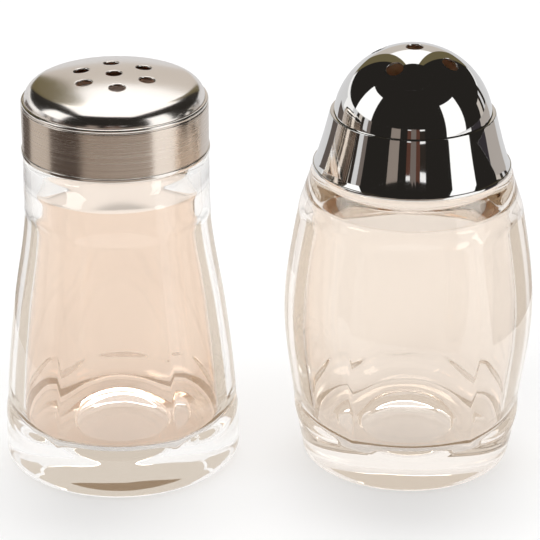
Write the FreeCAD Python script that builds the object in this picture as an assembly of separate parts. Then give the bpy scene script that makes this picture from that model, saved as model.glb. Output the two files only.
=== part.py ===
import FreeCAD, Part
import math
import os

# A pair of table spice shakers: a flared glass jar with a low steel cap, and a barrel
# shaped glass jar with a domed steel cap. Lengths are millimetres, +Z is up, both jars
# stand on z = 0, and the origin is on the table half way across the pair.

Vec = FreeCAD.Vector
UP = Vec(0, 0, 1)

# Layout of the pair
AXIS_SPACING = 69.3

# Both jars: six slightly crowned panels between a round foot and a round collar
PANEL_COUNT = 6
PANEL_RATIO = 0.945
PANEL_CROWN_SHIFT = 17.0
PANEL_SWEEP = 70.0
PANEL_LEDGE = 2.2
PANEL_TOP_RUN = 6.0
PANEL_TOP_BEND = 0.3
PANEL_OUTSIDE = 0.4
PANEL_POINTS = 6
FOOT_HEIGHT = 9.5
FOOT_FILLET = 2.2
RECESS_DEPTH = 1.6
RECESS_RIM = 5.0
COLLAR_FILLET = 1.6
WALL = 3.0
FLOOR_THICKNESS = 8.5
CAVITY_FILLET = 5.0
SHOULDER_DROP = 8.0

# Flared jar, radius at heights above the table
FLARED_FOOT_RADIUS = 28.5
FLARED_LOW = (27.8, 18.5)
FLARED_MIDDLE = (25.6, 38.7)
FLARED_WAIST = (22.3, 60.0)
FLARED_COLLAR_RADIUS = 21.8
FLARED_SHOULDER_Z = 77.8
FLARED_PANEL_TOP_Z = 67.5
FLARED_NECK_RADIUS = 17.4
FLARED_NECK_BORE = 14.8
FLARED_NECK_HEIGHT = 10.6

# Barrel jar, radius at heights above the table
BARREL_FOOT_RADIUS = 25.3
BARREL_LOW = (27.6, 14.5)
BARREL_BELLY = (30.1, 38.0)
BARREL_HIGH = (27.3, 61.0)
BARREL_COLLAR_RADIUS = 23.9
BARREL_SHOULDER_Z = 73.8
BARREL_PANEL_TOP_Z = 68.0
BARREL_NECK_RADIUS = 15.0
BARREL_NECK_BORE = 12.2
BARREL_NECK_HEIGHT = 11.0

# Screw threads, one size for both caps
THREAD_PITCH = 4.0
THREAD_TURNS = 1.25
THREAD_DEPTH = 1.0
THREAD_ROOT_WIDTH = 2.4
THREAD_CREST_WIDTH = 1.3
THREAD_CLEARANCE = 0.35
THREAD_START = 1.6
THREAD_BITE = 0.3
THREAD_TOP_CLEARANCE = 0.3

# Caps
SHEET = 0.5
CAP_GAP = 0.6
INSERT_FIT = 0.05
INSERT_FLANGE = 1.2
INSERT_EDGE = 0.8
SEAL_THICKNESS = 1.0
SEAL_FIT = 0.05
SEAL_SIDE_CLEARANCE = 0.3

# Low cap
FLAT_BAND_RADIUS = 21.8
FLAT_LIP = 0.25
FLAT_LIP_HEIGHT = 1.0
FLAT_BAND_HEIGHT = 13.4
FLAT_BEAD_RADIUS = 0.55
FLAT_CROWN_RADIUS = 21.1
FLAT_CROWN_HEIGHT = 5.2
FLAT_CROWN_ARC = 75.0
FLAT_SHOULDER_ARC = 4.2
FLAT_HOLE_RADIUS = 1.85
FLAT_RING_RADIUS = 8.4
FLAT_RING_HOLES = 6
FLAT_RING_TURN = -82.0

# Domed cap
DOME_SKIRT_RADIUS = 22.8
DOME_LIP_RADIUS = 23.3
DOME_SKIRT_TOP_RADIUS = 19.35
DOME_SKIRT_BOW = 0.2
DOME_SKIRT_HEIGHT = 13.4
DOME_LIP_HEIGHT = 0.9
DOME_BALL_RADIUS = 18.8
DOME_HEIGHT = 15.7
DOME_HOLE_RADIUS = 2.0
DOME_RING_TILT = 30.0
DOME_RING_HOLES = 4
DOME_RING_TURN = -121.5


def point(radius, height):
    return Vec(radius, 0, height)


def line(start, end):
    return Part.makeLine(start, end)


def arc(start, middle, end):
    return Part.Arc(start, middle, end).toShape()


def smooth_curve(points):
    curve = Part.BSplineCurve()
    curve.interpolate(points)
    return curve


def radius_at(curve, height):
    """Radius of a rising wall curve at a height, by halving its parameter range."""
    low = curve.FirstParameter
    high = curve.LastParameter
    for step in range(40):
        middle = (low + high) / 2
        if curve.value(middle).z < height:
            low = middle
        else:
            high = middle
    return curve.value(low).x


def even_heights(low, high, count):
    return [low + (high - low) * index / (count - 1) for index in range(count)]


def revolve(edges):
    face = Part.Face(Part.Wire(Part.__sortEdges__(edges)))
    return face.revolve(Vec(0, 0, 0), UP, 360)


def ring(inner, outer, bottom, top):
    height = top - bottom
    tube = Part.makeCylinder(outer, height, Vec(0, 0, bottom))
    return tube.cut(Part.makeCylinder(inner, height, Vec(0, 0, bottom)))


def corner_arc(centre_radius, centre_height, radius, start_angle, end_angle):
    """Arc in the radius-height plane, angles in degrees from the outward direction."""
    points = []
    for share in (0.0, 0.5, 1.0):
        angle = math.radians(start_angle + share * (end_angle - start_angle))
        points.append(point(centre_radius + radius * math.cos(angle),
                            centre_height + radius * math.sin(angle)))
    return arc(*points)


def round_wall(foot_radius, wall_points, collar_radius, shoulder_z):
    """Side of the jar from the top of the foot fillet to the bottom of the collar fillet."""
    places = [(foot_radius, FOOT_FILLET)] + wall_points + [(collar_radius, shoulder_z - COLLAR_FILLET)]
    return smooth_curve([point(*place) for place in places])


def jar_outside(wall, shoulder_z):
    """Round outside of a jar, up to the flat shoulder that the neck stands on."""
    foot_rim = wall.StartPoint.x - FOOT_FILLET
    recess = foot_rim - RECESS_RIM
    collar = wall.EndPoint.x - COLLAR_FILLET
    edges = [
        arc(point(0, RECESS_DEPTH), point(recess / 2, RECESS_DEPTH * 0.75), point(recess, 0)),
        line(point(recess, 0), point(foot_rim, 0)),
        corner_arc(foot_rim, FOOT_FILLET, FOOT_FILLET, -90, 0),
        wall.toShape(),
        corner_arc(collar, shoulder_z - COLLAR_FILLET, COLLAR_FILLET, 0, 90),
        line(point(collar, shoulder_z), point(0, shoulder_z)),
        line(point(0, shoulder_z), point(0, RECESS_DEPTH)),
    ]
    return revolve(edges)


def panel_cutter(wall, panel_top_z):
    """What one crowned panel takes off the round side, between the foot and the collar.

    The panel is turned about an axis behind the jar's own, so it is flatter than the side.
    """
    reach = AXIS_SPACING
    low = FOOT_HEIGHT + PANEL_LEDGE
    high = panel_top_z - PANEL_TOP_RUN
    heights = even_heights(low, high, PANEL_POINTS)
    panel = [point(radius_at(wall, height) * PANEL_RATIO, height) for height in heights]
    foot_edge = radius_at(wall, FOOT_HEIGHT) + PANEL_OUTSIDE
    top_edge = radius_at(wall, panel_top_z) + PANEL_OUTSIDE
    top_rise = panel[-1].x + (top_edge - panel[-1].x) * PANEL_TOP_BEND
    edges = [
        line(point(reach, FOOT_HEIGHT), point(foot_edge, FOOT_HEIGHT)),
        line(point(foot_edge, FOOT_HEIGHT), panel[0]),
        smooth_curve(panel).toShape(),
        arc(panel[-1], point(top_rise, high + PANEL_TOP_RUN / 2), point(top_edge, panel_top_z)),
        line(point(top_edge, panel_top_z), point(reach, panel_top_z)),
        line(point(reach, panel_top_z), point(reach, FOOT_HEIGHT)),
    ]
    face = Part.Face(Part.Wire(Part.__sortEdges__(edges)))
    axis = point(-PANEL_CROWN_SHIFT, 0)
    face.rotate(axis, UP, -PANEL_SWEEP / 2)
    return face.revolve(axis, UP, PANEL_SWEEP)


def jar_cavity(wall, shoulder_z, bore, neck_top):
    """Round hollow that keeps the wall thickness behind the middle of each panel."""
    start = FLOOR_THICKNESS + CAVITY_FILLET
    end = shoulder_z - SHOULDER_DROP
    side = []
    for height in even_heights(start, end, PANEL_POINTS):
        side.append(point(radius_at(wall, height) * PANEL_RATIO - WALL, height))
    floor_edge = side[0].x - CAVITY_FILLET
    neck_start = point(bore, shoulder_z - WALL / 2)
    edges = [
        line(point(0, FLOOR_THICKNESS), point(floor_edge, FLOOR_THICKNESS)),
        corner_arc(floor_edge, start, CAVITY_FILLET, -90, 0),
        smooth_curve(side).toShape(),
        line(side[-1], neck_start),
        line(neck_start, point(bore, neck_top + 1)),
        line(point(bore, neck_top + 1), point(0, neck_top + 1)),
        line(point(0, neck_top + 1), point(0, FLOOR_THICKNESS)),
    ]
    return revolve(edges)


def thread_rise(neck_height):
    """Height that a ridge climbs. On a short neck it ends sooner, clear of the seal."""
    room = neck_height - THREAD_START - THREAD_PITCH / 2 - THREAD_ROOT_WIDTH / 2
    return min(THREAD_TURNS * THREAD_PITCH, room - THREAD_TOP_CLEARANCE)


def thread_ridge(root_radius, height_direction, start_z, height):
    """Helical ridge with blunt ends; height_direction is 1 outward and -1 inward."""
    root = root_radius - height_direction * THREAD_BITE
    crest = root_radius + height_direction * THREAD_DEPTH
    half_root = THREAD_ROOT_WIDTH / 2
    half_crest = THREAD_CREST_WIDTH / 2
    corners = [
        point(root, -half_root),
        point(crest, -half_crest),
        point(crest, half_crest),
        point(root, half_root),
    ]
    profile = Part.makePolygon(corners + corners[:1])
    path = Part.makeHelix(THREAD_PITCH, height, root_radius)
    ridge = Part.Wire(path.Edges).makePipeShell([profile], True, True)
    ridge.translate(Vec(0, 0, start_z))
    return ridge


def make_jar(foot_radius, wall_points, collar_radius, shoulder_z, panel_top_z,
             neck_radius, bore, neck_height):
    neck_top = shoulder_z + neck_height
    wall = round_wall(foot_radius, wall_points, collar_radius, shoulder_z)
    body = jar_outside(wall, shoulder_z)
    cutter = panel_cutter(wall, panel_top_z)
    for index in range(PANEL_COUNT):
        side = cutter.copy()
        side.rotate(Vec(0, 0, 0), UP, 90 + index * 360 / PANEL_COUNT)
        body = body.cut(side)
    neck = Part.makeCylinder(neck_radius, neck_height + 1, Vec(0, 0, shoulder_z - 1))
    body = body.fuse(neck)
    body = body.cut(jar_cavity(wall, shoulder_z, bore, neck_top))
    ridge = thread_ridge(neck_radius, 1, shoulder_z + THREAD_START, thread_rise(neck_height))
    return body.fuse(ridge).removeSplitter()


def make_seal(bore, neck_radius, neck_top):
    """Flat washer between the glass rim and the flange of the insert."""
    bottom = neck_top + SEAL_FIT
    outer = neck_radius + THREAD_CLEARANCE + THREAD_DEPTH - SEAL_SIDE_CLEARANCE
    return ring(bore, outer, bottom, bottom + SEAL_THICKNESS)


def insert_ridge(neck_radius, shoulder_z, neck_height):
    """Inward ridge that lies half a pitch away from the ridge on the glass."""
    root = neck_radius + THREAD_DEPTH + THREAD_CLEARANCE
    start_z = shoulder_z + THREAD_START + THREAD_PITCH / 2
    return thread_ridge(root, -1, start_z, thread_rise(neck_height))


def make_insert(outer_blank, neck_radius, bore, shoulder_z, neck_height):
    """Threaded plastic collar: a blank that fits the steel, bored and threaded inside."""
    neck_top = shoulder_z + neck_height
    flange_bottom = neck_top + 2 * SEAL_FIT + SEAL_THICKNESS
    inner = neck_radius + THREAD_DEPTH + THREAD_CLEARANCE
    body = outer_blank.cut(Part.makeCylinder(inner, flange_bottom, Vec(0, 0, 0)))
    body = body.cut(Part.makeCylinder(bore, INSERT_FLANGE * 4, Vec(0, 0, flange_bottom - 1)))
    return body.fuse(insert_ridge(neck_radius, shoulder_z, neck_height)).removeSplitter()


def flat_crown_edges(crown_radius, crown_height, crown_arc, shoulder_arc, base_z):
    """Crown arc from the apex, running into a tighter shoulder arc that ends upright."""
    crown_centre = crown_height - crown_arc
    run = crown_radius - shoulder_arc
    shoulder_centre = crown_centre + math.sqrt((crown_arc - shoulder_arc) ** 2 - run ** 2)
    join_angle = math.degrees(math.atan2(shoulder_centre - crown_centre, run))
    crown = corner_arc(0, base_z + crown_centre, crown_arc, 90, join_angle)
    shoulder = corner_arc(run, base_z + shoulder_centre, shoulder_arc, join_angle, 0)
    return crown, shoulder, base_z + shoulder_centre


def flat_cap_solid(inset, bottom, base_z):
    """Low cap without its hollow, made smaller all round by the inset."""
    crown, shoulder, shoulder_end = flat_crown_edges(
        FLAT_CROWN_RADIUS - inset, FLAT_CROWN_HEIGHT - inset, FLAT_CROWN_ARC - inset,
        FLAT_SHOULDER_ARC - inset, base_z)
    band = FLAT_BAND_RADIUS - inset
    crown_side = FLAT_CROWN_RADIUS - inset
    crease = base_z - FLAT_BEAD_RADIUS * 2
    edges = [
        crown,
        shoulder,
        line(point(crown_side, shoulder_end), point(crown_side, crease)),
        line(point(crown_side, crease), point(band, crease - FLAT_BEAD_RADIUS)),
        line(point(band, crease - FLAT_BEAD_RADIUS), point(band, bottom)),
        line(point(band, bottom), point(0, bottom)),
        line(point(0, bottom), point(0, base_z + FLAT_CROWN_HEIGHT - inset)),
    ]
    return revolve(edges)


def hole_rod(radius, length, angle, place_radius, place_z, tilt):
    """Rod that punches one hole, tilted outward so that it meets the sheet squarely."""
    rod = Part.makeCylinder(radius, length, Vec(0, 0, -length / 2))
    rod.rotate(Vec(0, 0, 0), Vec(0, 1, 0), tilt)
    rod.translate(Vec(place_radius, 0, place_z))
    rod.rotate(Vec(0, 0, 0), UP, angle)
    return rod


def make_flat_cap_shell(bottom):
    base_z = bottom + FLAT_BAND_HEIGHT
    shell = flat_cap_solid(0, bottom, base_z)
    shell = shell.cut(flat_cap_solid(SHEET, bottom - 1, base_z))
    lip = ring(FLAT_BAND_RADIUS - SHEET, FLAT_BAND_RADIUS + FLAT_LIP, bottom, bottom + FLAT_LIP_HEIGHT)
    bead = Part.makeTorus(FLAT_BAND_RADIUS - FLAT_BEAD_RADIUS, FLAT_BEAD_RADIUS,
                          Vec(0, 0, base_z - FLAT_BEAD_RADIUS * 2))
    bead = bead.cut(flat_cap_solid(SHEET, bottom - 1, base_z))
    shell = shell.fuse(lip).fuse(bead).removeSplitter()
    top = base_z + FLAT_CROWN_HEIGHT
    ring_drop = FLAT_RING_RADIUS ** 2 / (2 * FLAT_CROWN_ARC)
    tilt = math.degrees(FLAT_RING_RADIUS / FLAT_CROWN_ARC)
    shell = shell.cut(hole_rod(FLAT_HOLE_RADIUS, 6, 0, 0, top, 0))
    for index in range(FLAT_RING_HOLES):
        angle = FLAT_RING_TURN + index * 360 / FLAT_RING_HOLES
        rod = hole_rod(FLAT_HOLE_RADIUS, 6, angle, FLAT_RING_RADIUS, top - ring_drop, tilt)
        shell = shell.cut(rod)
    return shell


def flat_insert_blank(bottom, shoulder_z):
    """Fills the band from just above its lip to the top of the flange."""
    base_z = bottom + FLAT_BAND_HEIGHT
    flange_top = (shoulder_z + FLARED_NECK_HEIGHT + 2 * SEAL_FIT + SEAL_THICKNESS + INSERT_FLANGE)
    start = bottom + INSERT_EDGE
    blank = flat_cap_solid(SHEET + INSERT_FIT, bottom, base_z)
    return blank.common(Part.makeCylinder(FLAT_BAND_RADIUS, flange_top - start, Vec(0, 0, start)))


def dome_profile(inset, bottom, base_z):
    """Dome, step and flaring skirt without the hollow, smaller all round by the inset.

    The dome is part of a ball whose middle is below the step.
    """
    ball = DOME_BALL_RADIUS - inset
    ball_centre = base_z + DOME_HEIGHT - DOME_BALL_RADIUS
    top_radius = DOME_SKIRT_TOP_RADIUS - inset
    skirt_radius = DOME_SKIRT_RADIUS - inset
    ledge = base_z - inset
    start_angle = math.degrees(math.asin((ledge - ball_centre) / ball))
    dome_edge = ball * math.cos(math.radians(start_angle))
    middle_radius = (top_radius + skirt_radius) / 2 - DOME_SKIRT_BOW
    lip_z = base_z - DOME_SKIRT_HEIGHT + DOME_LIP_HEIGHT
    middle = point(middle_radius, (ledge + lip_z) / 2)
    edges = [
        corner_arc(0, ball_centre, ball, start_angle, 90),
        line(point(0, ball_centre + ball), point(0, bottom)),
        line(point(0, bottom), point(skirt_radius, bottom)),
        line(point(skirt_radius, bottom), point(skirt_radius, lip_z)),
        arc(point(skirt_radius, lip_z), middle, point(top_radius, ledge)),
        line(point(top_radius, ledge), point(dome_edge, ledge)),
    ]
    return revolve(edges)


def make_dome_cap_shell(bottom):
    base_z = bottom + DOME_SKIRT_HEIGHT
    lip = ring(DOME_SKIRT_RADIUS - SHEET, DOME_LIP_RADIUS, bottom, bottom + DOME_LIP_HEIGHT)
    shell = dome_profile(0, bottom, base_z).cut(dome_profile(SHEET, bottom - 1, base_z))
    shell = shell.fuse(lip).removeSplitter()
    shell = shell.cut(hole_rod(DOME_HOLE_RADIUS, 8, 0, 0, base_z + DOME_HEIGHT, 0))
    tilt = math.radians(DOME_RING_TILT)
    place_radius = DOME_BALL_RADIUS * math.sin(tilt)
    place_z = base_z + DOME_HEIGHT - DOME_BALL_RADIUS * (1 - math.cos(tilt))
    for index in range(DOME_RING_HOLES):
        angle = DOME_RING_TURN + index * 360 / DOME_RING_HOLES
        shell = shell.cut(hole_rod(DOME_HOLE_RADIUS, 8, angle, place_radius, place_z, DOME_RING_TILT))
    return shell


def dome_insert_blank(bottom, shoulder_z):
    """Fills the skirt from just above its lip to the top of the flange."""
    base_z = bottom + DOME_SKIRT_HEIGHT
    flange_top = (shoulder_z + BARREL_NECK_HEIGHT + 2 * SEAL_FIT + SEAL_THICKNESS + INSERT_FLANGE)
    start = bottom + INSERT_EDGE + DOME_LIP_HEIGHT
    blank = dome_profile(SHEET + INSERT_FIT, bottom, base_z)
    return blank.common(Part.makeCylinder(DOME_SKIRT_RADIUS, flange_top - start, Vec(0, 0, start)))


def save(node, shape, axis_x):
    placed = shape.copy()
    placed.translate(Vec(axis_x, 0, 0))
    if len(placed.Solids) != 1 or not placed.isValid():
        raise ValueError(node + " is not one valid solid")
    placed.Solids[0].exportStep("parts/" + node + ".step")
    box = placed.BoundBox
    print(node, round(placed.Volume / 1000, 2), "cm3",
          [round(value, 2) for value in (box.XMin, box.XMax, box.YMin, box.YMax, box.ZMin, box.ZMax)])


def main():
    os.makedirs("parts", exist_ok=True)
    widest = BARREL_BELLY[0]
    left_x = -(AXIS_SPACING + widest - FLARED_FOOT_RADIUS) / 2
    right_x = left_x + AXIS_SPACING

    flared_walls = [FLARED_LOW, FLARED_MIDDLE, FLARED_WAIST]
    save("flared_jar", make_jar(FLARED_FOOT_RADIUS, flared_walls, FLARED_COLLAR_RADIUS,
                                FLARED_SHOULDER_Z, FLARED_PANEL_TOP_Z, FLARED_NECK_RADIUS,
                                FLARED_NECK_BORE, FLARED_NECK_HEIGHT), left_x)
    flat_bottom = FLARED_SHOULDER_Z + CAP_GAP
    save("flat_cap_shell", make_flat_cap_shell(flat_bottom), left_x)
    save("flat_cap_insert", make_insert(flat_insert_blank(flat_bottom, FLARED_SHOULDER_Z),
                                        FLARED_NECK_RADIUS, FLARED_NECK_BORE,
                                        FLARED_SHOULDER_Z, FLARED_NECK_HEIGHT), left_x)
    save("flat_cap_seal", make_seal(FLARED_NECK_BORE, FLARED_NECK_RADIUS,
                                    FLARED_SHOULDER_Z + FLARED_NECK_HEIGHT), left_x)

    barrel_walls = [BARREL_LOW, BARREL_BELLY, BARREL_HIGH]
    save("barrel_jar", make_jar(BARREL_FOOT_RADIUS, barrel_walls, BARREL_COLLAR_RADIUS,
                                BARREL_SHOULDER_Z, BARREL_PANEL_TOP_Z, BARREL_NECK_RADIUS,
                                BARREL_NECK_BORE, BARREL_NECK_HEIGHT), right_x)
    dome_bottom = BARREL_SHOULDER_Z + CAP_GAP
    save("dome_cap_shell", make_dome_cap_shell(dome_bottom), right_x)
    save("dome_cap_insert", make_insert(dome_insert_blank(dome_bottom, BARREL_SHOULDER_Z),
                                        BARREL_NECK_RADIUS, BARREL_NECK_BORE,
                                        BARREL_SHOULDER_Z, BARREL_NECK_HEIGHT), right_x)
    save("dome_cap_seal", make_seal(BARREL_NECK_BORE, BARREL_NECK_RADIUS,
                                    BARREL_SHOULDER_Z + BARREL_NECK_HEIGHT), right_x)


main()
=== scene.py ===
import math

import bmesh
import bpy
from mathutils import Matrix, Vector


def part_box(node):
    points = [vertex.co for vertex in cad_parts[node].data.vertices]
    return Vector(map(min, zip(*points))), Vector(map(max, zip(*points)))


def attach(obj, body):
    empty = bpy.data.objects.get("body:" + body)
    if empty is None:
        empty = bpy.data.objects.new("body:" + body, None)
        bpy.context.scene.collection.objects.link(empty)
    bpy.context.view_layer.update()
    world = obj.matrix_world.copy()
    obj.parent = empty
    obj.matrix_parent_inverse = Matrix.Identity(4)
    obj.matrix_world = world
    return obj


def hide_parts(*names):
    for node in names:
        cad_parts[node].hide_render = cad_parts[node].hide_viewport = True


# A pair of glass table shakers. Their sizes are in millimetres, which MM makes metres. The
# camera and the studio are in metres.
MM = 0.001

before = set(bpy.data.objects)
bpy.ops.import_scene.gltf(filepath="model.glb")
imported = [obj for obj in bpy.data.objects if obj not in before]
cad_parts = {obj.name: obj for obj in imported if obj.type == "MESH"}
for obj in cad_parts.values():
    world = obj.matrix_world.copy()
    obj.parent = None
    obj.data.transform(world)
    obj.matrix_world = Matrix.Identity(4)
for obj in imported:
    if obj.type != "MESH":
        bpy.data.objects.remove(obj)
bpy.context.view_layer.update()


def centre_x(node):
    low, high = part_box(node)
    return (low[0] + high[0]) / 2


def top_z(node):
    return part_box(node)[1][2] / MM


def bottom_z(node):
    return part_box(node)[0][2] / MM


FLARED_X = centre_x("flat_cap_shell")
BARREL_X = centre_x("dome_cap_shell")

# Jars
TURN_STEPS = 288
PANELS = 6
PANEL_RATIO = 0.945
PANEL_CROWN_SHIFT = 17.0
FOOT_HEIGHT = 9.5
LEDGE_SOFTENING = 4.6
PANEL_TOP_RUN = 6.0
RIDGE_SOFTNESS = 0.7
FOOT_FILLET = 2.2
RECESS_DEPTH = 1.6
RECESS_RIM = 5.0
COLLAR_FILLET = 1.6
LIP_FILLET = 0.7
WALL = 3.0
FLOOR = 8.5
CAVITY_FILLET = 5.0
PLUNGER_MARK = 13.4
PLUNGER_SLOPE = 0.8
PLUNGER_STEP = 0.35
SHOULDER_DROP = 8.0
THREAD_PITCH = 4.0
THREAD_TURNS = 1.25
THREAD_DEPTH = 1.0
THREAD_START = 1.6
THREAD_HALF = 0.95
THREAD_SLOPE = 0.6
THREAD_BLUR = 0.35
THREAD_FADE = 0.04
NECK_FILLET = 0.4
BLANK_MARGIN = 0.4
WALL_ROWS = 138
HOLLOW_ROWS = 50
PLUNGER_ROWS = 8
FLOOR_MARGIN = 0.1

FLARED = {
    "wall": [(28.5, 2.2), (27.8, 18.5), (25.6, 38.7), (22.3, 60.0), (21.8, 76.2)],
    "shoulder": 77.8,
    "panel_top": 67.5,
    "neck": 17.4,
    "bore": 14.8,
    "top": top_z("flared_jar"),
}
BARREL = {
    "wall": [(25.3, 2.2), (27.6, 14.5), (30.1, 38.0), (27.3, 61.0), (23.9, 72.2)],
    "shoulder": 73.8,
    "panel_top": 68.0,
    "neck": 15.0,
    "bore": 12.2,
    "top": top_z("barrel_jar"),
}

# Caps
SHEET = 0.5
CAP_STEPS = 240
CAP_UPWARD = 0.01
BRUSHED_MARGIN = 0.1
BRUSHED_DROP = 1.76
LOW_BAND = 21.8
LOW_LIP = 0.25
LOW_LIP_HEIGHT = 1.0
LOW_LIP_BEND = 0.24
LOW_GROOVE = 0.28
LOW_GROOVE_BEND = 0.3
LOW_CROWN = 21.1
LOW_CROWN_HEIGHT = 5.2
LOW_CROWN_ARC = 75.0
LOW_SHOULDER_ARC = 4.2
LOW_BEAD = 0.55
LOW_HOLE = 1.85
LOW_HOLES_ROUND = 6
LOW_HOLE_RING = 8.4
LOW_HOLE_TURN = -82.0
DOME_SKIRT = 22.8
DOME_LIP = 23.3
DOME_SKIRT_TOP = 19.35
DOME_SKIRT_BOW = 0.2
DOME_SKIRT_HEIGHT = 13.4
DOME_LIP_HEIGHT = 0.9
DOME_LIP_BEND = 0.3
DOME_LEDGE_BEND = 0.25
DOME_BALL = 18.8
DOME_HEIGHT = 15.7
DOME_HOLE = 2.0
DOME_HOLES_ROUND = 4
DOME_HOLE_TILT = 30.0
DOME_HOLE_TURN = -121.5
HOLE_ROUNDING = 0.3
HOLE_STEPS = 40
PUNCH_TOP = 1.5
LOW_PUNCH_DEPTH = 3.0
DOME_PUNCH_DEPTH = 4.0
SHARP_EDGE = 42

# How close a point must lie to a surface to count as on it
NEAR = 0.01

# Glass nearer the axis than this is left as it was spun
AXIS_CORE = 1.0

# Camera, found from both outlines in the photograph
CAMERA_PLACE = (0.0006, -0.553, 0.297)
CAMERA_PITCH = 24.32
CAMERA_FOCUS = 2539.0
PICTURE = 540.0
SENSOR = 36.0

# Studio: the tent of cards, where its floor cards begin, and how far the cards clear the floor
TENT = 1.6
GROUND_NEAR = 0.13
CARD_LIFT = 0.0006
CARD_STEP = 4
FLOOR_RADIUS = 6.0
FLOOR_DROP = 0.0002

# Studio brightness
WORLD_AS_LAMP = 0.68
WORLD_AS_SEEN = 1.0

# Glass: nearly clear outside, with the warm cast of the photograph on the wall of the hollow,
# and less of it where the plunger pressed the floor
FLARED_TINTS = ((0.985, 0.975, 0.96), (0.86, 0.69, 0.565), (0.93, 0.84, 0.78))
BARREL_TINTS = ((0.962, 0.905, 0.85), (0.918, 0.853, 0.79), (0.985, 0.975, 0.97))
GLASS_SHADE = (0.93, 0.92, 0.91, 1.0)
DEEP_SHADE = (0.68, 0.60, 0.51, 1.0)
DEEP_BOUNCES = 2.5
GLASS_INDEX = 1.5


def arc_points(centre, radius, start, end, count):
    """Points along an arc, angles in degrees, 0 outward and 90 up."""
    points = []
    for index in range(count + 1):
        angle = math.radians(start + (end - start) * index / count)
        points.append((centre[0] + radius * math.cos(angle), centre[1] + radius * math.sin(angle)))
    return points


def line_points(start, end, spacing):
    """Points along a straight run, about one spacing apart."""
    length = math.dist(start, end)
    count = max(1, round(length / spacing))
    points = []
    for index in range(count + 1):
        share = index / count
        points.append((start[0] + (end[0] - start[0]) * share, start[1] + (end[1] - start[1]) * share))
    return points


def wall_radius(wall, height):
    """Radius of the round wall at a height: a cubic through the given places."""
    places = [(z, r) for r, z in wall]
    last = len(places) - 1
    slopes = []
    for index in range(len(places)):
        before = places[max(index - 1, 0)]
        after = places[min(index + 1, last)]
        slopes.append((after[1] - before[1]) / (after[0] - before[0]))
    height = min(max(height, places[0][0]), places[-1][0])
    index = 0
    while index < last - 1 and height > places[index + 1][0]:
        index += 1
    (z0, r0), (z1, r1) = places[index], places[index + 1]
    span = z1 - z0
    t = (height - z0) / span
    return ((2 * t ** 3 - 3 * t ** 2 + 1) * r0 + (t ** 3 - 2 * t ** 2 + t) * span * slopes[index]
            + (3 * t ** 2 - 2 * t ** 3) * r1 + (t ** 3 - t ** 2) * span * slopes[index + 1])


def soft_min(a, b, softness):
    """The lower of two sizes, with the step between them rounded off."""
    blend = max(softness - abs(a - b), 0.0) / softness
    return min(a, b) - blend * blend * softness / 4


def ease(t):
    """A share from 0 to 1 that starts and ends gently."""
    t = min(max(t, 0.0), 1.0)
    return t * t * (3 - 2 * t)


def join_profile(*stretches):
    """One list of places, without the doubled ends where stretches meet."""
    places = []
    for stretch in stretches:
        for place in stretch:
            if not places or math.dist(places[-1], place) > 0.001:
                places.append(place)
    return places


def jar_profile(jar):
    """Outline of the glass, from the middle of the underside round to the middle of the floor."""
    wall = jar["wall"]
    foot = wall[0][0]
    collar = wall[-1][0]
    shoulder = jar["shoulder"]
    rim = foot - FOOT_FILLET
    recess = rim - RECESS_RIM
    recess_arc = (recess ** 2 + RECESS_DEPTH ** 2) / (2 * RECESS_DEPTH)
    swing = math.degrees(math.asin(recess / recess_arc))
    side = []
    for index in range(WALL_ROWS + 1):
        height = FOOT_FILLET + (wall[-1][1] - FOOT_FILLET) * index / WALL_ROWS
        side.append((wall_radius(wall, height), height))
    neck = jar["neck"]
    bore = jar["bore"]
    top = jar["top"]
    start = FLOOR + CAVITY_FILLET
    end = shoulder - SHOULDER_DROP
    inside = []
    for index in range(HOLLOW_ROWS + 1):
        height = end + (start - end) * index / HOLLOW_ROWS
        inside.append((wall_radius(wall, height) * PANEL_RATIO - WALL, height))
    floor_edge = inside[-1][0] - CAVITY_FILLET
    neck_bottom = (bore, shoulder - WALL / 2)
    plunger_step = []
    for index in range(PLUNGER_ROWS + 1):
        share = index / PLUNGER_ROWS
        radius = PLUNGER_MARK + PLUNGER_SLOPE * (1 - share)
        plunger_step.append((radius, FLOOR - PLUNGER_STEP * ease(share)))
    return join_profile(
        arc_points((0, RECESS_DEPTH - recess_arc), recess_arc, 90, 90 - swing, 14),
        line_points((recess, 0), (rim, 0), 2.5),
        arc_points((rim, FOOT_FILLET), FOOT_FILLET, -90, 0, 10),
        side,
        arc_points((collar - COLLAR_FILLET, shoulder - COLLAR_FILLET), COLLAR_FILLET, 0, 90, 8),
        line_points((collar - COLLAR_FILLET, shoulder), (neck + NECK_FILLET, shoulder), 1.2),
        arc_points((neck + NECK_FILLET, shoulder + NECK_FILLET), NECK_FILLET, -90, -180, 4),
        line_points((neck, shoulder + NECK_FILLET), (neck, top - LIP_FILLET), 0.25),
        arc_points((neck - LIP_FILLET, top - LIP_FILLET), LIP_FILLET, 0, 90, 6),
        arc_points((bore + LIP_FILLET, top - LIP_FILLET), LIP_FILLET, 90, 180, 6),
        line_points((bore, top - LIP_FILLET), neck_bottom, 2.0),
        line_points(neck_bottom, inside[0], 1.0),
        inside,
        arc_points((floor_edge, start), CAVITY_FILLET, 0, -90, 12),
        line_points((floor_edge, FLOOR), (PLUNGER_MARK + PLUNGER_SLOPE, FLOOR), 1.5),
        plunger_step,
        line_points((PLUNGER_MARK, FLOOR - PLUNGER_STEP), (0, FLOOR - PLUNGER_STEP), 1.5),
    )


def panel_distance(jar, height):
    """How far the middle of a panel stands from the axis, or None where the glass is round."""
    low = FOOT_HEIGHT
    high = jar["panel_top"]
    if height <= low or height >= high:
        return None
    full = wall_radius(jar["wall"], height)
    set_in = full * PANEL_RATIO
    foot_share = ease((height - low) / LEDGE_SOFTENING)
    top_share = ease((high - height) / PANEL_TOP_RUN)
    share = min(foot_share, top_share)
    blank = full + BLANK_MARGIN
    return blank - (blank - set_in) * share


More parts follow.
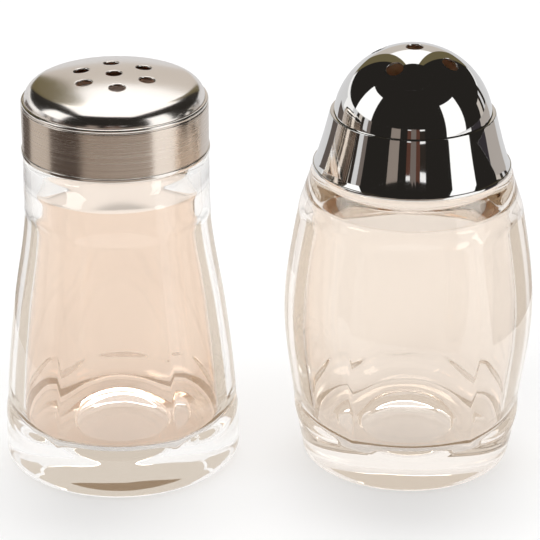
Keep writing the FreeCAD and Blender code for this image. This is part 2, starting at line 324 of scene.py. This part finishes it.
def crowned_radius(distance, off):
    """Radius of a panel that is turned about an axis behind the jar's own."""
    back = PANEL_CROWN_SHIFT
    return math.sqrt((distance + back) ** 2 - (back * math.sin(off)) ** 2) - back * math.cos(off)


def thread_rise(jar, angle, height):
    """How far the screw thread stands out of the neck."""
    turns = (angle / math.tau) % 1.0
    start = jar["shoulder"] + THREAD_START
    best = 0.0
    for lap in range(3):
        along = turns + lap
        if along > THREAD_TURNS:
            continue
        fade = min(1.0, along / THREAD_FADE, (THREAD_TURNS - along) / THREAD_FADE)
        offset = abs(height - start - along * THREAD_PITCH)
        best = max(best, fade * ease((THREAD_HALF + THREAD_BLUR - offset) / THREAD_SLOPE))
    return best * THREAD_DEPTH


def new_object(name, builder, materials):
    mesh = bpy.data.meshes.new(name)
    builder.to_mesh(mesh)
    builder.free()
    for material in materials:
        mesh.materials.append(material)
    mesh.shade_smooth()
    piece = bpy.data.objects.new(name, mesh)
    bpy.context.scene.collection.objects.link(piece)
    return piece


def spun(profile, steps):
    """A profile in the radius and height plane, turned once round the upright axis."""
    builder = bmesh.new()
    verts = [builder.verts.new((r * MM, 0, z * MM)) for r, z in profile]
    for a, b in zip(verts, verts[1:]):
        builder.edges.new((a, b))
    bmesh.ops.spin(builder, geom=builder.verts[:] + builder.edges[:], cent=(0, 0, 0), axis=(0, 0, 1),
                   angle=math.tau, steps=steps, use_merge=True, use_duplicate=False)
    bmesh.ops.remove_doubles(builder, verts=builder.verts[:], dist=0.000002)
    bmesh.ops.recalc_face_normals(builder, faces=builder.faces[:])
    return builder


def place_on_axis(builder, axis_x):
    bmesh.ops.translate(builder, verts=builder.verts[:], vec=(axis_x, 0, 0))


def press_jar(builder, jar):
    """Presses the six panels and the screw thread into the round blank."""
    wall = jar["wall"]
    sector = math.tau / PANELS
    for vert in builder.verts:
        radius = math.hypot(vert.co.x, vert.co.y) / MM
        height = vert.co.z / MM
        if radius < AXIS_CORE:
            continue
        angle = math.atan2(vert.co.y, vert.co.x)
        shaped = radius
        on_wall = wall[0][1] < height < wall[-1][1] and abs(radius - wall_radius(wall, height)) < NEAR
        if on_wall:
            distance = panel_distance(jar, height)
            if distance is not None:
                off = (angle + math.pi / 2 + sector / 2) % sector - sector / 2
                shaped = soft_min(radius, crowned_radius(distance, off), RIDGE_SOFTNESS)
        elif height > jar["shoulder"] + NECK_FILLET + NEAR and abs(radius - jar["neck"]) < NEAR:
            shaped = radius + thread_rise(jar, angle, height)
        scale = shaped / radius
        vert.co.x *= scale
        vert.co.y *= scale


def make_glass(name, jar, axis_x, node, body, glasses):
    """One jar: its faces take the outside, the inside or the floor's glass."""
    builder = spun(jar_profile(jar), TURN_STEPS)
    inner_reach = jar["bore"] + LIP_FILLET
    for face in builder.faces:
        centre = face.calc_center_median()
        radius = math.hypot(centre.x, centre.y) / MM
        height = centre.z / MM
        wall = wall_radius(jar["wall"], height) * PANEL_RATIO - WALL / 2
        inside = radius < (wall if height < jar["shoulder"] - SHOULDER_DROP else inner_reach)
        if inside and FLOOR - PLUNGER_STEP - FLOOR_MARGIN < height < jar["shoulder"]:
            on_floor = radius < PLUNGER_MARK and height < FLOOR + FLOOR_MARGIN
            face.material_index = 2 if on_floor else 1
    press_jar(builder, jar)
    place_on_axis(builder, axis_x)
    piece = new_object(name, builder, glasses)
    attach(piece, body)
    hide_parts(node)


def crown_arcs(radius, height, crown_arc, shoulder_arc):
    """Heights of the crown's and the shoulder's centres, and the angle where the arcs meet."""
    crown_centre = height - crown_arc
    run = radius - shoulder_arc
    shoulder_centre = crown_centre + math.sqrt((crown_arc - shoulder_arc) ** 2 - run ** 2)
    join = math.degrees(math.atan2(shoulder_centre - crown_centre, run))
    return crown_centre, shoulder_centre, join


def low_cap_profile(bottom, base):
    """Outline of the low cap's sheet: crown, shoulder, bead, band and lip, then back inside."""
    bead_z = base - LOW_BEAD * 2
    groove_z = bead_z - LOW_BEAD - LOW_GROOVE
    lip = LOW_BAND + LOW_LIP
    crown_centre, shoulder_centre, join = crown_arcs(
        LOW_CROWN, LOW_CROWN_HEIGHT, LOW_CROWN_ARC, LOW_SHOULDER_ARC)
    inner_centre, inner_shoulder, inner_join = crown_arcs(
        LOW_CROWN - SHEET, LOW_CROWN_HEIGHT - SHEET, LOW_CROWN_ARC - SHEET, LOW_SHOULDER_ARC - SHEET)
    run = LOW_CROWN - LOW_SHOULDER_ARC
    outside = join_profile(
        arc_points((0, base + crown_centre), LOW_CROWN_ARC, 90, join, 40),
        arc_points((run, base + shoulder_centre), LOW_SHOULDER_ARC, join, 0, 26),
        line_points((LOW_CROWN, base + shoulder_centre), (LOW_CROWN, bead_z + LOW_BEAD * 0.9), 0.5),
        arc_points((LOW_BAND - LOW_BEAD, bead_z), LOW_BEAD, 60, -62, 14),
        arc_points((LOW_BAND - LOW_GROOVE_BEND, groove_z), LOW_GROOVE_BEND, 80, 0, 5),
        line_points((LOW_BAND, groove_z), (LOW_BAND, bottom + LOW_LIP_HEIGHT + 0.2), 0.8),
        arc_points((lip - LOW_LIP_BEND, bottom + LOW_LIP_HEIGHT - LOW_LIP_BEND), LOW_LIP_BEND, 90, 0, 4),
        arc_points((lip - LOW_LIP_BEND, bottom + LOW_LIP_BEND), LOW_LIP_BEND, 0, -90, 5),
    )
    inside = join_profile(
        [(LOW_BAND - SHEET, bottom)],
        line_points((LOW_BAND - SHEET, bottom + 0.05), (LOW_BAND - SHEET, bead_z - LOW_BEAD), 2.0),
        line_points((LOW_CROWN - SHEET, bead_z), (LOW_CROWN - SHEET, base + inner_shoulder), 1.0),
        arc_points((run, base + inner_shoulder), LOW_SHOULDER_ARC - SHEET, 0, inner_join, 12),
        arc_points((0, base + inner_centre), LOW_CROWN_ARC - SHEET, inner_join, 90, 26),
    )
    return outside + inside


def dome_cap_profile(bottom, base):
    outside = dome_side(0.0, base, bottom, 46)
    inside = dome_side(SHEET, base, bottom, 30)
    return outside + inside[::-1]


def circle_through(a, b, c):
    """Centre and radius of the circle through three places."""
    d = 2 * (a[0] * (b[1] - c[1]) + b[0] * (c[1] - a[1]) + c[0] * (a[1] - b[1]))
    squares = [p[0] ** 2 + p[1] ** 2 for p in (a, b, c)]
    x = (squares[0] * (b[1] - c[1]) + squares[1] * (c[1] - a[1]) + squares[2] * (a[1] - b[1])) / d
    z = (squares[0] * (c[0] - b[0]) + squares[1] * (a[0] - c[0]) + squares[2] * (b[0] - a[0])) / d
    return (x, z), math.dist((x, z), a)


def dome_side(inset, base, bottom, rows):
    """One face of the domed sheet, from the apex down to the lip of the skirt."""
    ball = DOME_BALL - inset
    ball_centre = base + DOME_HEIGHT - DOME_BALL
    top = DOME_SKIRT_TOP - inset
    skirt = DOME_SKIRT - inset
    ledge = base - inset
    start_angle = math.degrees(math.asin((ledge - ball_centre) / ball))
    dome = arc_points((0, ball_centre), ball, 90, start_angle, rows)
    lip = bottom + DOME_LIP_HEIGHT
    middle = ((top + skirt) / 2 - DOME_SKIRT_BOW, (ledge + lip) / 2)
    centre, bend = circle_through((top, ledge), middle, (skirt, lip))
    start = math.degrees(math.atan2(ledge - centre[1], top - centre[0])) % 360
    end = math.degrees(math.atan2(lip - centre[1], skirt - centre[0])) % 360
    # Degrees of the bend that the ledge's corner and the lip take up
    clear_of_ledge = 1.2
    clear_of_lip = 0.4
    corner = (top - DOME_LEDGE_BEND, ledge - DOME_LEDGE_BEND)
    stretch = [dome, arc_points(corner, DOME_LEDGE_BEND, 90, 10, 5)]
    if inset:
        stretch.append(arc_points(centre, bend, start + clear_of_ledge, end, 22))
        stretch.append([(skirt, bottom)])
    else:
        edge = DOME_LIP - DOME_LIP_BEND
        stretch.append(arc_points(centre, bend, start + clear_of_ledge, end - clear_of_lip, 22))
        stretch.append(arc_points((edge, lip - DOME_LIP_BEND), DOME_LIP_BEND, 90, 0, 5))
        stretch.append(arc_points((edge, bottom + DOME_LIP_BEND), DOME_LIP_BEND, 0, -90, 5))
    return join_profile(*stretch)


def hole_punch(radius, place, tilt, turn, depth):
    """A rod with a flared end, whose flare rounds the edge of the hole at the surface."""
    flare = arc_points((radius + HOLE_ROUNDING, -HOLE_ROUNDING), HOLE_ROUNDING, 180, 90, 5)
    profile = [(0, -depth), (radius, -depth)] + flare
    profile += [(radius + HOLE_ROUNDING, PUNCH_TOP), (0, PUNCH_TOP)]
    builder = spun(profile, HOLE_STEPS)
    turn_back = Matrix.Rotation(math.radians(turn), 4, "Z")
    lean = Matrix.Rotation(math.radians(tilt), 4, "Y")
    matrix = turn_back @ Matrix.Translation((place[0] * MM, 0, place[1] * MM)) @ lean
    bmesh.ops.transform(builder, matrix=matrix, verts=builder.verts[:])
    return builder


def punch_holes(piece, punches, axis_x):
    """Cuts every hole with one boolean, and applies it."""
    joined = bmesh.new()
    for punch in punches:
        mesh = bpy.data.meshes.new("punch")
        punch.to_mesh(mesh)
        punch.free()
        joined.from_mesh(mesh)
        bpy.data.meshes.remove(mesh)
    place_on_axis(joined, axis_x)
    tool = new_object("punch_tool", joined, [])
    cut = piece.modifiers.new("holes", "BOOLEAN")
    cut.operation = "DIFFERENCE"
    cut.solver = "EXACT"
    cut.object = tool
    bpy.context.view_layer.update()
    graph = bpy.context.evaluated_depsgraph_get()
    finished = bpy.data.meshes.new_from_object(piece.evaluated_get(graph))
    piece.modifiers.clear()
    old = piece.data
    piece.data = finished
    finished.name = old.name
    bpy.data.meshes.remove(old)
    bpy.data.objects.remove(tool)
    finished.shade_smooth()
    finished.set_sharp_from_angle(angle=math.radians(SHARP_EDGE))


def faces_inwards(face, centre):
    """True for a face of the cap's inner surface, while the cap still stands on the middle axis."""
    return face.normal.x * centre.x + face.normal.y * centre.y + face.normal.z * CAP_UPWARD < 0


def make_low_cap(steel_polished, steel_brushed, steel_inside):
    bottom = bottom_z("flat_cap_shell")
    top = top_z("flat_cap_shell")
    base = top - LOW_CROWN_HEIGHT
    band_top = base - BRUSHED_DROP
    builder = spun(low_cap_profile(bottom, base), CAP_STEPS)
    for face in builder.faces:
        centre = face.calc_center_median()
        radius = math.hypot(centre.x, centre.y) / MM
        height = centre.z / MM
        if radius > LOW_BAND - BRUSHED_MARGIN and bottom + LOW_LIP_HEIGHT < height < band_top:
            face.material_index = 1
        elif faces_inwards(face, centre):
            face.material_index = 2
    place_on_axis(builder, FLARED_X)
    piece = new_object("low_cap", builder, [steel_polished, steel_brushed, steel_inside])
    punches = [hole_punch(LOW_HOLE, (0, top), 0, 0, LOW_PUNCH_DEPTH)]
    drop = LOW_HOLE_RING ** 2 / (2 * LOW_CROWN_ARC)
    tilt = math.degrees(LOW_HOLE_RING / LOW_CROWN_ARC)
    for index in range(LOW_HOLES_ROUND):
        turn = LOW_HOLE_TURN + index * 360 / LOW_HOLES_ROUND
        punches.append(hole_punch(LOW_HOLE, (LOW_HOLE_RING, top - drop), tilt, turn, LOW_PUNCH_DEPTH))
    punch_holes(piece, punches, FLARED_X)
    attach(piece, "flat_cap")
    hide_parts("flat_cap_shell")
    return piece


def make_dome_cap(chrome, steel_inside):
    bottom = bottom_z("dome_cap_shell")
    base = bottom + DOME_SKIRT_HEIGHT
    builder = spun(dome_cap_profile(bottom, base), CAP_STEPS)
    for face in builder.faces:
        if faces_inwards(face, face.calc_center_median()):
            face.material_index = 1
    place_on_axis(builder, BARREL_X)
    piece = new_object("domed_cap", builder, [chrome, steel_inside])
    punches = [hole_punch(DOME_HOLE, (0, base + DOME_HEIGHT), 0, 0, DOME_PUNCH_DEPTH)]
    tilt = math.radians(DOME_HOLE_TILT)
    place = (DOME_BALL * math.sin(tilt), base + DOME_HEIGHT - DOME_BALL * (1 - math.cos(tilt)))
    for index in range(DOME_HOLES_ROUND):
        turn = DOME_HOLE_TURN + index * 360 / DOME_HOLES_ROUND
        punches.append(hole_punch(DOME_HOLE, place, DOME_HOLE_TILT, turn, DOME_PUNCH_DEPTH))
    punch_holes(piece, punches, BARREL_X)
    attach(piece, "dome_cap")
    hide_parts("dome_cap_shell")


def new_material(name):
    material = bpy.data.materials.new(name)
    material.use_nodes = True
    shader = material.node_tree.nodes["Principled BSDF"]
    return material, material.node_tree, shader


def add_node(tree, kind, **settings):
    node = tree.nodes.new(kind)
    for name, value in settings.items():
        setattr(node, name, value)
    return node


def object_pattern(tree, axis_x, stretch):
    """Object coordinates centred on one shaker's axis and stretched, for a pattern."""
    place = add_node(tree, "ShaderNodeTexCoord")
    mapping = add_node(tree, "ShaderNodeMapping")
    mapping.inputs["Location"].default_value = (-axis_x * stretch[0], 0, 0)
    mapping.inputs["Scale"].default_value = stretch
    tree.links.new(place.outputs["Object"], mapping.inputs["Vector"])
    return mapping


def add_noise(tree, mapping, scale, detail):
    noise = add_node(tree, "ShaderNodeTexNoise")
    noise.inputs["Scale"].default_value = scale
    noise.inputs["Detail"].default_value = detail
    tree.links.new(mapping.outputs["Vector"], noise.inputs["Vector"])
    return noise


def add_range(tree, source, low, high, from_low=0.3, from_high=0.7):
    spread = add_node(tree, "ShaderNodeMapRange")
    spread.inputs["From Min"].default_value = from_low
    spread.inputs["From Max"].default_value = from_high
    spread.inputs["To Min"].default_value = low
    spread.inputs["To Max"].default_value = high
    tree.links.new(source.outputs[0], spread.inputs["Value"])
    return spread


def add_bump(tree, shader, source, strength, distance):
    bump = add_node(tree, "ShaderNodeBump")
    bump.inputs["Strength"].default_value = strength
    bump.inputs["Distance"].default_value = distance
    tree.links.new(source.outputs[0], bump.inputs["Height"])
    tree.links.new(bump.outputs["Normal"], shader.inputs["Normal"])


def glass_material(name, axis_x, tint):
    """Clear pressed glass with the faint waves that pressing leaves.

    Shadow and bounced rays pass straight on, so the table under a jar stays lit, and light
    that has been turned back inside the wall three times leaves it.
    """
    material, tree, shader = new_material(name)
    shader.inputs["Base Color"].default_value = tint + (1.0,)
    shader.inputs["Transmission Weight"].default_value = 1.0
    shader.inputs["IOR"].default_value = GLASS_INDEX
    shader.inputs["Roughness"].default_value = 0.0
    mapping = object_pattern(tree, axis_x, (1.0, 1.0, 0.6))
    waves = add_noise(tree, mapping, scale=95.0, detail=1.0)
    add_bump(tree, shader, waves, strength=0.25, distance=0.0004)
    clear = add_node(tree, "ShaderNodeBsdfTransparent")
    clear.inputs["Color"].default_value = GLASS_SHADE
    path = add_node(tree, "ShaderNodeLightPath")
    either = add_node(tree, "ShaderNodeMath", operation="MAXIMUM")
    tree.links.new(path.outputs["Is Shadow Ray"], either.inputs[0])
    tree.links.new(path.outputs["Is Diffuse Ray"], either.inputs[1])
    onward = add_node(tree, "ShaderNodeBsdfRefraction")
    onward.inputs["Color"].default_value = DEEP_SHADE
    onward.inputs["IOR"].default_value = 1.0
    onward.inputs["Roughness"].default_value = 0.0
    deep = add_node(tree, "ShaderNodeMath", operation="GREATER_THAN")
    deep.inputs[1].default_value = DEEP_BOUNCES
    tree.links.new(path.outputs["Glossy Depth"], deep.inputs[0])
    leave = add_node(tree, "ShaderNodeMixShader")
    tree.links.new(deep.outputs[0], leave.inputs["Fac"])
    tree.links.new(shader.outputs["BSDF"], leave.inputs[1])
    tree.links.new(onward.outputs["BSDF"], leave.inputs[2])
    mix = add_node(tree, "ShaderNodeMixShader")
    tree.links.new(either.outputs[0], mix.inputs["Fac"])
    tree.links.new(leave.outputs["Shader"], mix.inputs[1])
    tree.links.new(clear.outputs["BSDF"], mix.inputs[2])
    tree.links.new(mix.outputs["Shader"], tree.nodes["Material Output"].inputs["Surface"])
    return material


def jar_glasses(name, axis_x, tints):
    places = ("_outside", "_inside", "_floor")
    return [glass_material(name + place, axis_x, tint) for place, tint in zip(places, tints)]


def polished_steel(name, axis_x):
    """The low cap's crown: satin rather than mirror, with faint clouds in its gloss."""
    material, tree, shader = new_material(name)
    shader.inputs["Metallic"].default_value = 1.0
    mapping = object_pattern(tree, axis_x, (1.0, 1.0, 1.0))
    cloud = add_noise(tree, mapping, scale=60.0, detail=4.0)
    gloss = add_range(tree, cloud, low=0.13, high=0.20)
    tree.links.new(gloss.outputs["Result"], shader.inputs["Roughness"])
    shader.inputs["Base Color"].default_value = (0.93, 0.88, 0.83, 1.0)
    return material


def brushed_steel(name, axis_x):
    """Steel brushed round the band: streaks long round the axis and fine up it."""
    material, tree, shader = new_material(name)
    shader.inputs["Metallic"].default_value = 1.0
    shader.inputs["Anisotropic"].default_value = 0.8
    shader.inputs["Anisotropic Rotation"].default_value = 0.25
    mapping = object_pattern(tree, axis_x, (12.0, 12.0, 2600.0))
    streaks = add_noise(tree, mapping, scale=1.0, detail=3.0)
    tone = add_node(tree, "ShaderNodeMix", data_type="RGBA")
    tone.inputs["A"].default_value = (0.67, 0.57, 0.485, 1.0)
    tone.inputs["B"].default_value = (0.88, 0.79, 0.705, 1.0)
    tree.links.new(streaks.outputs["Fac"], tone.inputs["Factor"])
    tree.links.new(tone.outputs["Result"], shader.inputs["Base Color"])
    gloss = add_range(tree, streaks, low=0.20, high=0.30)
    tree.links.new(gloss.outputs["Result"], shader.inputs["Roughness"])
    add_bump(tree, shader, streaks, strength=0.30, distance=0.00005)
    tangent = add_node(tree, "ShaderNodeTangent", direction_type="RADIAL", axis="Z")
    tree.links.new(tangent.outputs["Tangent"], shader.inputs["Tangent"])
    return material


def chrome_material(name, axis_x):
    """The domed cap's mirror, a little hazier in patches."""
    material, tree, shader = new_material(name)
    shader.inputs["Metallic"].default_value = 1.0
    shader.inputs["Base Color"].default_value = (0.86, 0.85, 0.83, 1.0)
    mapping = object_pattern(tree, axis_x, (1.0, 1.0, 1.0))
    cloud = add_noise(tree, mapping, scale=80.0, detail=3.0)
    gloss = add_range(tree, cloud, low=0.02, high=0.05)
    tree.links.new(gloss.outputs["Result"], shader.inputs["Roughness"])
    return material


def inside_steel(name, axis_x):
    """The dull brown inside of a cap, which shows through its holes."""
    material, tree, shader = new_material(name)
    shader.inputs["Metallic"].default_value = 1.0
    mapping = object_pattern(tree, axis_x, (1.0, 1.0, 1.0))
    cloud = add_noise(tree, mapping, scale=120.0, detail=4.0)
    tone = add_node(tree, "ShaderNodeMix", data_type="RGBA")
    tone.inputs["A"].default_value = (0.55, 0.33, 0.19, 1.0)
    tone.inputs["B"].default_value = (0.70, 0.46, 0.29, 1.0)
    tree.links.new(cloud.outputs["Fac"], tone.inputs["Factor"])
    tree.links.new(tone.outputs["Result"], shader.inputs["Base Color"])
    shader.inputs["Roughness"].default_value = 0.4
    return material


def plastic_material(name, axis_x, light, dark):
    material, tree, shader = new_material(name)
    mapping = object_pattern(tree, axis_x, (1.0, 1.0, 1.0))
    cloud = add_noise(tree, mapping, scale=300.0, detail=3.0)
    tone = add_node(tree, "ShaderNodeMix", data_type="RGBA")
    tone.inputs["A"].default_value = dark + (1.0,)
    tone.inputs["B"].default_value = light + (1.0,)
    tree.links.new(cloud.outputs["Fac"], tone.inputs["Factor"])
    tree.links.new(tone.outputs["Result"], shader.inputs["Base Color"])
    shader.inputs["Roughness"].default_value = 0.45
    shader.inputs["Subsurface Weight"].default_value = 0.05
    add_bump(tree, shader, cloud, strength=0.1, distance=0.0001)
    return material


def dress_node(node, material):
    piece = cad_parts[node]
    piece.data.materials.clear()
    piece.data.materials.append(material)


def make_stage():
    builder = bmesh.new()
    bmesh.ops.create_circle(builder, cap_ends=True, radius=FLOOR_RADIUS, segments=96)
    material, _, shader = new_material("floor_white")
    shader.inputs["Base Color"].default_value = (0.93, 0.93, 0.93, 1.0)
    shader.inputs["Roughness"].default_value = 0.8
    shader.inputs["Specular IOR Level"].default_value = 0.1
    floor = new_object("floor", builder, [material])
    floor.location.z = -FLOOR_DROP


def make_world():
    """A white studio: bright to the lens, to mirrors and through glass, dimmer as a lamp."""
    world = bpy.data.worlds.new("studio")
    world.use_nodes = True
    tree = world.node_tree
    background = tree.nodes["Background"]
    background.inputs["Color"].default_value = (1.0, 1.0, 1.0, 1.0)
    path = add_node(tree, "ShaderNodeLightPath")
    seen = add_node(tree, "ShaderNodeMath", operation="ADD")
    tree.links.new(path.outputs["Is Camera Ray"], seen.inputs[0])
    tree.links.new(path.outputs["Is Transmission Ray"], seen.inputs[1])
    direct = add_node(tree, "ShaderNodeMath", operation="ADD", use_clamp=True)
    tree.links.new(seen.outputs[0], direct.inputs[0])
    tree.links.new(path.outputs["Is Glossy Ray"], direct.inputs[1])
    strength = add_range(tree, direct, low=WORLD_AS_LAMP, high=WORLD_AS_SEEN, from_low=0.0, from_high=1.0)
    tree.links.new(strength.outputs["Result"], background.inputs["Strength"])
    bpy.context.scene.world = world


def aim(item, place, target):
    direction = Vector(target) - Vector(place)
    item.location = place
    item.rotation_euler = direction.to_track_quat("-Z", "Y").to_euler()


def add_softbox(name, place, target, width, height, power, colour, mirrored=False):
    lamp = bpy.data.lights.new(name, "AREA")
    lamp.shape = "RECTANGLE"
    lamp.size = width
    lamp.size_y = height
    lamp.energy = power
    lamp.color = colour
    item = bpy.data.objects.new(name, lamp)
    bpy.context.scene.collection.objects.link(item)
    aim(item, place, target)
    item.visible_glossy = mirrored
    item.visible_camera = False
    return item


def add_card(name, turns, rises, shade):
    """A card seen only in mirrors, part of a tent round the pair.

    Turns are degrees round from the camera side, positive to the right. Rises are degrees up,
    or None for a card that lies on the floor.
    """
    if rises is None:
        profile = [(GROUND_NEAR, CARD_LIFT), (TENT, CARD_LIFT)]
    else:
        profile = []
        steps = max(2, round((rises[1] - rises[0]) / CARD_STEP))
        for index in range(steps + 1):
            rise = math.radians(rises[0] + (rises[1] - rises[0]) * index / steps)
            profile.append((TENT * math.cos(rise), TENT * math.sin(rise) + CARD_LIFT * 2))
    builder = bmesh.new()
    start = math.radians(turns[0] - 90)
    verts = [builder.verts.new((r * math.cos(start), r * math.sin(start), z)) for r, z in profile]
    for first, second in zip(verts, verts[1:]):
        builder.edges.new((first, second))
    sweep = math.radians(turns[1] - turns[0])
    bmesh.ops.spin(builder, geom=builder.verts[:] + builder.edges[:], cent=(0, 0, 0), axis=(0, 0, 1),
                   angle=sweep, steps=max(3, round((turns[1] - turns[0]) / CARD_STEP)))
    material = bpy.data.materials.new(name + "_cloth")
    material.use_nodes = True
    tree = material.node_tree
    tree.nodes.remove(tree.nodes["Principled BSDF"])
    glow = tree.nodes.new("ShaderNodeEmission")
    glow.inputs["Color"].default_value = shade + (1.0,)
    tree.links.new(glow.outputs["Emission"], tree.nodes["Material Output"].inputs["Surface"])
    card = new_object(name, builder, [material])
    card.visible_camera = False
    card.visible_diffuse = False
    card.visible_shadow = False
    card.visible_transmission = False
    card.visible_volume_scatter = False


def make_tent():
    """What the polished metal mirrors: a dim room with windows, as in the photograph."""
    black = (0.020, 0.018, 0.016)
    brown = (0.030, 0.024, 0.020)
    rust = (0.10, 0.045, 0.032)
    taupe = (0.18, 0.15, 0.135)
    olive = (0.15, 0.125, 0.065)
    beige = (0.60, 0.55, 0.50)
    grey = (0.70, 0.70, 0.71)
    white = (1.2, 1.2, 1.2)
    dim = (0.36, 0.31, 0.27)
    add_card("floor_front", (-44, 41), None, dim)
    add_card("floor_left", (-82, -44), None, (0.08, 0.06, 0.05))
    add_card("floor_far_left", (-116, -82), None, (0.62, 0.58, 0.54))
    add_card("floor_edge_left", (-140, -116), None, (0.12, 0.10, 0.09))
    add_card("floor_right", (86, 106), None, (0.04, 0.035, 0.04))
    add_card("floor_far_right", (106, 134), None, (0.45, 0.41, 0.38))
    add_card("floor_back", (134, 220), None, grey)
    add_card("door_front_1", (-9, -4), (0, 13), rust)
    add_card("door_front_2", (-4, 3), (0, 16), taupe)
    add_card("door_front_3", (3, 8), (0, 15), rust)
    add_card("door_front_4", (8, 15), (0, 12), brown)
    add_card("wall_front_left", (-19, -9), (0, 14), black)
    add_card("pillar_left", (-32, -19), (0, 14), (0.28, 0.235, 0.205))
    add_card("wall_left", (-64, -32), (0, 14), black)
    add_card("curtain_left_1", (-70, -64), (0, 14), taupe)
    add_card("curtain_left_2", (-77, -70), (0, 14), grey)
    add_card("curtain_left_3", (-82, -77), (0, 14), brown)
    add_card("curtain_left_4", (-88, -82), (0, 14), beige)
    add_card("curtain_left_5", (-93, -88), (0, 14), brown)
    add_card("curtain_left_6", (-104, -93), (0, 14), grey)
    add_card("wall_right", (15, 46), (0, 68), black)
    add_card("window_right", (46, 77), (0, 40), white)
    add_card("over_window_right", (46, 77), (40, 68), black)
    add_card("wall_far_right", (77, 110), (0, 68), black)
    add_card("curtain_right_1", (110, 118), (0, 12), beige)
    add_card("curtain_right_2", (118, 123), (0, 12), brown)
    add_card("curtain_right_3", (123, 128), (0, 12), grey)
    add_card("curtain_right_4", (128, 134), (0, 12), brown)
    add_card("pane_left", (-66, 15), (14, 68), black)
    add_card("window_left", (-100, -66), (15, 46), white)
    add_card("over_window_left", (-104, -66), (46, 68), black)
    add_card("side_left", (-152, -100), (14, 68), black)
    add_card("far_left", (-166, -152), (10, 68), olive)
    add_card("side_right", (110, 150), (12, 68), black)
    add_card("far_right", (150, 162), (10, 68), olive)
    add_card("back_low", (134, 232), (0, 10), grey)
    add_card("back_wall", (162, 194), (10, 34), beige)
    add_card("back_window", (162, 194), (34, 68), white)
    add_card("roof", (-180, 180), (68, 90), black)


def make_lights(low_cap):
    """Three softboxes for the pair, and one that lights and shows in the low cap alone."""
    middle = (0, 0, 0.06)
    add_softbox("key_left", (-0.9, -0.35, 0.75), middle,
                width=0.45, height=0.5, power=3.6, colour=(1.0, 0.99, 0.97))
    add_softbox("key_right", (0.95, -0.45, 0.50), middle,
                width=0.30, height=0.7, power=2.8, colour=(1.0, 0.98, 0.96))
    add_softbox("overhead", (0.05, 0.35, 1.1), middle,
                width=0.5, height=0.4, power=4.0, colour=(1.0, 1.0, 1.0))
    crown = (FLARED_X, 0, 0.097)
    over_crown = (FLARED_X + 0.01, 0.05, 0.40)
    sheet = add_softbox("over_low_cap", over_crown, crown,
                        width=0.34, height=0.40, power=0.52, colour=(1.0, 0.99, 0.98), mirrored=True)
    lit = bpy.data.collections.new("low_cap_only")
    lit.objects.link(low_cap)
    sheet.light_linking.receiver_collection = lit


def make_camera():
    lens = bpy.data.cameras.new("camera")
    lens.sensor_width = SENSOR
    lens.lens = CAMERA_FOCUS / PICTURE * SENSOR
    lens.clip_start = 0.01
    camera = bpy.data.objects.new("camera", lens)
    bpy.context.scene.collection.objects.link(camera)
    camera.location = CAMERA_PLACE
    camera.rotation_euler = (math.radians(90 - CAMERA_PITCH), 0, 0)
    bpy.context.scene.camera = camera


def main():
    bpy.context.scene.view_settings.view_transform = "Standard"
    make_glass("flared_glass", FLARED, FLARED_X, "flared_jar", "flared_jar",
               jar_glasses("flared_glass", FLARED_X, FLARED_TINTS))
    make_glass("barrel_glass", BARREL, BARREL_X, "barrel_jar", "barrel_jar",
               jar_glasses("barrel_glass", BARREL_X, BARREL_TINTS))
    low_cap = make_low_cap(polished_steel("low_cap_polish", FLARED_X),
                           brushed_steel("low_cap_brushing", FLARED_X),
                           inside_steel("low_cap_inside", FLARED_X))
    make_dome_cap(chrome_material("dome_polish", BARREL_X), inside_steel("dome_inside", BARREL_X))
    white = (0.80, 0.78, 0.75)
    shade = (0.68, 0.66, 0.63)
    brown = (0.33, 0.19, 0.12)
    dark_brown = (0.24, 0.135, 0.085)
    dress_node("flat_cap_insert", plastic_material("low_collar_plastic", FLARED_X, brown, dark_brown))
    dress_node("dome_cap_insert", plastic_material("dome_collar_plastic", BARREL_X, white, shade))
    dark_rubber = (0.5, 0.48, 0.45)
    for node, axis_x in (("flat_cap_seal", FLARED_X), ("dome_cap_seal", BARREL_X)):
        dress_node(node, plastic_material(node + "_rubber", axis_x, shade, dark_rubber))
    make_stage()
    make_world()
    make_tent()
    make_lights(low_cap)
    make_camera()


main()
